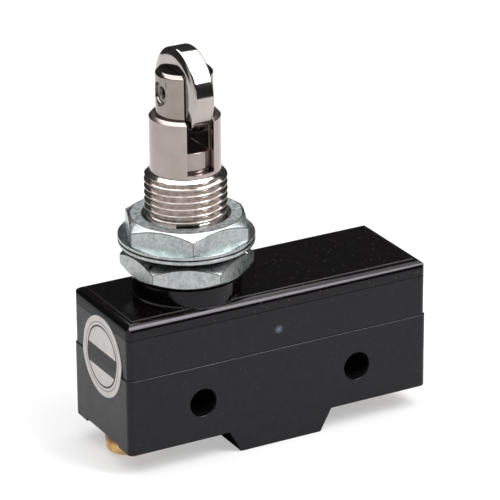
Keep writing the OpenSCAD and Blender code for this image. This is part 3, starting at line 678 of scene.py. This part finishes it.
def thread_point(place, depth, share):
    """Height and radius of a thread vertex, kept between the run-in and the chamfered end."""
    z = THREAD_START + THREAD_PITCH * (place + share + THREAD_PHASE - 1.0)
    if z <= THREAD_START:
        return THREAD_START, THREAD_R
    if z >= THREAD_TOP:
        return THREAD_TOP, THREAD_R - THREAD_CHAMFER
    cut = min(1.0, (z - THREAD_START) / RUN_IN)
    radius = THREAD_R - THREAD_PITCH * depth * cut
    return z, min(radius, THREAD_R - THREAD_CHAMFER + (THREAD_TOP - z))


def add_thread(work):
    """Right-hand helical surface whose rows follow the crests, so that its lines stay clean."""
    pattern = thread_rows()
    per_turn = len(pattern)
    turns = math.ceil((THREAD_TOP - THREAD_START) / THREAD_PITCH)
    rows = [(turn + place, depth) for turn in range(-1, turns + 1) for place, depth in pattern]
    grid = []
    for column in range(COLUMNS):
        share = column / COLUMNS
        angle = 2.0 * math.pi * share
        line = []
        for place, depth in rows:
            z, r = thread_point(place, depth, share)
            line.append(work.verts.new((AXIS_X + r * math.cos(angle), r * math.sin(angle), z)))
        grid.append(line)
    for column in range(COLUMNS):
        beside = grid[(column + 1) % COLUMNS]
        shift = per_turn if column == COLUMNS - 1 else 0
        line = grid[column]
        for row in range(len(rows) - 1 - shift):
            corners = (line[row], beside[row + shift], beside[row + shift + 1], line[row + 1])
            heights = [vertex.co.z for vertex in corners]
            if max(heights) - min(heights) > 0.0:
                work.faces.new(corners)


def add_rings(work, rings):
    """Surface of revolution through rings of (height, radius)."""
    grid = []
    for z, r in rings:
        ring = []
        for column in range(COLUMNS):
            angle = 2.0 * math.pi * column / COLUMNS
            ring.append(work.verts.new((AXIS_X + r * math.cos(angle), r * math.sin(angle), z)))
        grid.append(ring)
    for ring, above in zip(grid, grid[1:]):
        for column in range(COLUMNS):
            beside = (column + 1) % COLUMNS
            work.faces.new((ring[column], ring[beside], above[beside], above[column]))


def mesh_from(work, name):
    """Mesh with the faces of a bmesh, which is freed."""
    mesh = bpy.data.meshes.new(name)
    work.to_mesh(mesh)
    work.free()
    return mesh


def linked_object(name, data):
    """New object in the scene, with a mesh or a lamp as its data."""
    item = bpy.data.objects.new(name, data)
    scene.collection.objects.link(item)
    return item


def box_piece(name, low, high, turn=0.0):
    """Cutter block, turned about the plunger's axis."""
    work = bmesh.new()
    bmesh.ops.create_cube(work, size=1.0)
    for vertex in work.verts:
        vertex.co = Vector(
            (vertex.co[k] + 0.5) * (high[k] - low[k]) + low[k] for k in range(3))
    spin = Matrix.Rotation(math.radians(turn), 4, "Z")
    work.transform(Matrix.Translation((AXIS_X, 0.0, 0.0)) @ spin)
    return linked_object(name, mesh_from(work, name))


def bushing_solid():
    """Bushing before its slot and keyway are cut."""
    work = bmesh.new()
    add_thread(work)
    add_rings(work, [
        (THREAD_TOP, THREAD_R - THREAD_CHAMFER),
        (THREAD_TOP, SLEEVE_R),
        (BUSHING_TOP - SLEEVE_CHAMFER, SLEEVE_R),
        (BUSHING_TOP, SLEEVE_R - SLEEVE_CHAMFER),
        (BUSHING_TOP, BORE_R),
        (COLLAR_TOP, BORE_R),
        (COLLAR_TOP, COLLAR_BORE_R),
        (BUSHING_LOW, COLLAR_BORE_R),
        (BUSHING_LOW, FLANGE_R),
        (FLANGE_TOP, FLANGE_R),
        (FLANGE_TOP, THREAD_R),
        (THREAD_START, THREAD_R),
    ])
    bmesh.ops.remove_doubles(work, verts=work.verts, dist=SAME_POINT)
    bmesh.ops.dissolve_degenerate(work, edges=work.edges, dist=SLIVER)
    bmesh.ops.recalc_face_normals(work, faces=work.faces)
    return mesh_from(work, "cut_thread_bushing")


def settle(item):
    """Apply an object's modifiers to its own mesh."""
    bpy.context.view_layer.update()
    depsgraph = bpy.context.evaluated_depsgraph_get()
    result = bpy.data.meshes.new_from_object(item.evaluated_get(depsgraph))
    item.modifiers.clear()
    item.data = result


def cut_bushing(bushing):
    """Cut the sleeve's slot and the thread's keyway."""
    cutters = [
        box_piece("slot_cutter", (-SLOT_W / 2, -CUTTER_REACH, SLOT_Z),
                  (SLOT_W / 2, CUTTER_REACH, BUSHING_TOP + CUTTER_REACH)),
        box_piece("keyway_cutter", (THREAD_R - KEYWAY_DEPTH, -KEYWAY_W / 2, KEYWAY_LOW),
                  (THREAD_R + KEYWAY_DEPTH, KEYWAY_W / 2, KEYWAY_TOP), KEYWAY_HEADING),
    ]
    for cutter in cutters:
        cut = bushing.modifiers.new(cutter.name, "BOOLEAN")
        cut.operation = "DIFFERENCE"
        cut.solver = "EXACT"
        cut.object = cutter
    settle(bushing)
    for cutter in cutters:
        bpy.data.objects.remove(cutter)


def mark_sleeve_edges(mesh):
    """Bevel weight on the sharp edges of the slotted sleeve."""
    work = bmesh.new()
    work.from_mesh(mesh)
    weight = work.edges.layers.float.new("bevel_weight_edge")
    for edge in work.edges:
        above = min(vertex.co.z for vertex in edge.verts) > SLOT_Z - NEAR
        if above and len(edge.link_faces) == 2 and edge.calc_face_angle() > math.radians(SLEEVE_ANGLE):
            edge[weight] = 1.0
    work.to_mesh(mesh)
    work.free()


def ease_sleeve(bushing):
    """Round the marked edges."""
    edge = bushing.modifiers.new("edge", "BEVEL")
    edge.limit_method = "WEIGHT"
    edge.width = SLEEVE_EDGE
    edge.segments = EDGE_STEPS
    settle(bushing)


def split_wide_faces(mesh):
    """Triangulate the many-sided faces that the cuts leave, so that none of them folds."""
    work = bmesh.new()
    work.from_mesh(mesh)
    bmesh.ops.triangulate(work, faces=[face for face in work.faces if len(face.verts) > 4])
    work.to_mesh(mesh)
    work.free()


def shade_bushing(mesh):
    """Smooth faces with sharp corners, and below the sleeve a paler copy of the nickel on the thread,
    painted light for its grooves.
    """
    for polygon in mesh.polygons:
        polygon.use_smooth = True
    mesh.set_sharp_from_angle(angle=math.radians(SHARP_ANGLE))
    mesh.materials.clear()
    mesh.materials.append(nickel)
    mesh.materials.append(thread_nickel_painted_light)
    for polygon in mesh.polygons:
        away = math.hypot(polygon.center.x - AXIS_X, polygon.center.y)
        if away > SLEEVE_R + NEAR and polygon.center.z < THREAD_TOP - NEAR:
            polygon.material_index = 1


def make_bushing():
    bushing = linked_object("cut_thread_bushing", bushing_solid())
    cut_bushing(bushing)
    mark_sleeve_edges(bushing.data)
    ease_sleeve(bushing)
    split_wide_faces(bushing.data)
    shade_bushing(bushing.data)
    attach(bushing, "housing")
    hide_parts("threaded_bushing")


make_bushing()


# Axle whose flared ends lie deeper in the fork than the solid's

AXLE_R = 1.3 * MM
AXLE_HOLE_R = 0.8 * MM
FLARE_L = 0.6 * MM
AXLE_RECESS = 0.17 * MM


def make_axle():
    """The solid's axle, with each flare cut back along its own cones."""
    tube = linked_object("recessed_axle", nodes["roller_axle"].data.copy())
    low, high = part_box("roller_axle")
    end_ring = (high.x - low.x) / 2 - NEAR
    for vertex in tube.data.vertices:
        along = vertex.co.x - AXIS_X
        if abs(along) < end_ring:
            continue
        spoke = Vector((vertex.co.y, vertex.co.z - ROLLER_Z))
        straight = AXLE_R if spoke.length > AXLE_R else AXLE_HOLE_R
        spoke *= 1.0 + (straight / spoke.length - 1.0) * AXLE_RECESS / FLARE_L
        vertex.co = (vertex.co.x - math.copysign(AXLE_RECESS, along), spoke.x, ROLLER_Z + spoke.y)
    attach(tube, "plunger")
    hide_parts("roller_axle")


make_axle()


# Overtravel spring between the pin and the plunger: a copy of the coil that rides with the pin

def make_spring():
    coil = linked_object("shortening_spring", nodes["overtravel_spring"].data.copy())
    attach(coil, "pin")
    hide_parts("overtravel_spring")
    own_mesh(coil)


make_spring()


# Studio: white floor, overhead softbox, front softbox, dark walls, pale horizon; lengths in metres

TABLE_SIZE = 24.0
TABLE_TONES = [(0.3, (0.49, 0.49, 0.49)), (0.7, (0.51, 0.51, 0.51))]
TABLE_BLOTCH = 3
TABLE_ROUGH = 0.6
TABLE_SHINE = 0.1
TABLE_GLOW = 0.44
CLOTH_TONES = [(0.3, (0.012, 0.012, 0.012)), (0.7, (0.02, 0.02, 0.02))]
CLOTH_BLOTCH = 20
CLOTH_ROUGH = 0.9
WALL_R = 0.3
WALL_STEP = 5
# First heading, last heading and height of each wall
FRONT_WALL = (265, 335, 0.136)
RIGHT_WALL = (0, 40, 0.2)
BACK_WALL = (40, 150, 0.26)
WATTS_PER_RADIANCE = 4.0
OVERHEAD_Z = 0.72
OVERHEAD_HEADING = 61.25
OVERHEAD_OFFSET = 0.025
OVERHEAD_TURN = -28.75
OVERHEAD_SIZE = (1.52, 1.3)
OVERHEAD_CARD_SIZE = (1.56, 1.34)
OVERHEAD_LEVEL = 1.6
OVERHEAD_CARD_LEVEL = 1.2
FRONT_HEADING = 305.0
FRONT_ELEVATION = 47.0
FRONT_DISTANCE = 0.6
FRONT_SIZE = (0.18, 0.47)
FRONT_CARD_SIZE = (0.186, 0.486)
FRONT_LEVEL = 7.0
FRONT_CARD_LEVEL = 5.0
CARD_GAP = 0.02
HAZE_LOW = 8.0
HAZE_TOP = 16.0
HAZE_LEVEL = 0.95
SKY_LEVEL = 0.045


def heading_vector(heading, elevation):
    """Unit vector towards a heading about +Z and an elevation, in degrees."""
    h = math.radians(heading)
    e = math.radians(elevation)
    return Vector((math.cos(h) * math.cos(e), math.sin(h) * math.cos(e), math.sin(e)))


def floor_material():
    """White table, which glows a little where it is seen directly or in a reflection."""
    material, tree, shader = surface("white_table")
    tone = noise(tree, object_coords(tree), TABLE_BLOTCH, detail=2)
    tree.links.new(ramp(tree, tone, TABLE_TONES), shader.inputs["Base Color"])
    shader.inputs["Roughness"].default_value = TABLE_ROUGH
    shader.inputs["Specular IOR Level"].default_value = TABLE_SHINE
    shader.inputs["Emission Color"].default_value = (*WHITE, 1.0)
    path = add(tree, "ShaderNodeLightPath")
    seen = math_node(tree, "MAXIMUM", path.outputs["Is Camera Ray"], path.outputs["Is Glossy Ray"])
    seen = math_node(tree, "MAXIMUM", seen, path.outputs["Is Transmission Ray"])
    tree.links.new(math_node(tree, "MULTIPLY", seen, TABLE_GLOW), shader.inputs["Emission Strength"])
    return material


def make_floor():
    work = bmesh.new()
    bmesh.ops.create_grid(work, x_segments=2, y_segments=2, size=0.5)
    work.transform(Matrix.Diagonal((TABLE_SIZE, TABLE_SIZE, 1.0, 1.0)))
    floor = linked_object("table", mesh_from(work, "table"))
    floor.data.materials.append(floor_material())
    floor.location = (0.0, 0.0, FLOOR_Z)


def dark_cloth():
    material, tree, shader = surface("dark_cloth")
    tone = noise(tree, object_coords(tree), CLOTH_BLOTCH, detail=2)
    tree.links.new(ramp(tree, tone, CLOTH_TONES), shader.inputs["Base Color"])
    shader.inputs["Roughness"].default_value = CLOTH_ROUGH
    return material


def dark_wall(name, first, last, height, material):
    """Curved dark cloth round the table between two headings, seen only in reflections."""
    work = bmesh.new()
    strip = []
    for heading in range(first, last + 1, WALL_STEP):
        foot = Vector((AXIS_X, 0.0, FLOOR_Z)) + heading_vector(heading, 0.0) * WALL_R
        strip.append((work.verts.new(foot), work.verts.new(foot + Vector((0.0, 0.0, height)))))
    for (foot, top), (next_foot, next_top) in zip(strip, strip[1:]):
        work.faces.new((foot, next_foot, next_top, top))
    wall = linked_object(name, mesh_from(work, name))
    wall.data.materials.append(material)
    wall.visible_camera = False
    wall.visible_diffuse = False
    wall.visible_shadow = False


def softbox(name, place, aim, size, level, turn=0.0):
    """Rectangular lamp that faces a point, turned about its own axis by some degrees."""
    width, height = size
    data = bpy.data.lights.new(name, "AREA")
    data.shape = "RECTANGLE"
    data.size = width
    data.size_y = height
    data.energy = level * WATTS_PER_RADIANCE * width * height
    lamp = linked_object(name, data)
    facing = (aim - place).to_track_quat("-Z", "Y").to_matrix().to_4x4()
    lamp.matrix_world = Matrix.Translation(place) @ facing @ Matrix.Rotation(math.radians(turn), 4, "Z")
    return lamp


def make_world():
    """Pale horizon under a dim sky."""
    world = bpy.data.worlds.new("studio")
    scene.world = world
    world.use_nodes = True
    tree = world.node_tree
    background = tree.nodes["Background"]
    height = split_axes(tree, add(tree, "ShaderNodeTexCoord").outputs["Generated"])["Z"]
    haze_low = math.sin(math.radians(HAZE_LOW))
    haze_top = math.sin(math.radians(HAZE_TOP))
    level = spread(tree, height, haze_low, haze_top, HAZE_LEVEL, SKY_LEVEL)
    background.inputs["Color"].default_value = (*WHITE, 1.0)
    tree.links.new(level, background.inputs["Strength"])


def make_lamps():
    """Two softboxes, each with a card behind it that lights only reflections."""
    middle = Vector((AXIS_X, 0.0, ROLLER_Z))
    down = Vector((0.0, 0.0, -1.0))
    above = Vector((AXIS_X, 0.0, OVERHEAD_Z)) + heading_vector(OVERHEAD_HEADING, 0.0) * OVERHEAD_OFFSET
    behind = above - down * CARD_GAP
    front = heading_vector(FRONT_HEADING, FRONT_ELEVATION)
    front_place = middle + front * FRONT_DISTANCE
    front_behind = middle + front * (FRONT_DISTANCE + CARD_GAP)
    softbox("overhead_softbox", above, above + down, OVERHEAD_SIZE, OVERHEAD_LEVEL, OVERHEAD_TURN)
    overhead_card = softbox(
        "overhead_card", behind, behind + down, OVERHEAD_CARD_SIZE, OVERHEAD_CARD_LEVEL, OVERHEAD_TURN)
    softbox("front_softbox", front_place, middle, FRONT_SIZE, FRONT_LEVEL)
    front_card = softbox("front_card", front_behind, middle, FRONT_CARD_SIZE, FRONT_CARD_LEVEL)
    for card in (overhead_card, front_card):
        card.visible_diffuse = False


def make_studio():
    make_floor()
    make_world()
    cloth = dark_cloth()
    dark_wall("dark_wall_front", *FRONT_WALL, cloth)
    dark_wall("dark_wall_right", *RIGHT_WALL, cloth)
    dark_wall("dark_wall_back", *BACK_WALL, cloth)
    make_lamps()


make_studio()
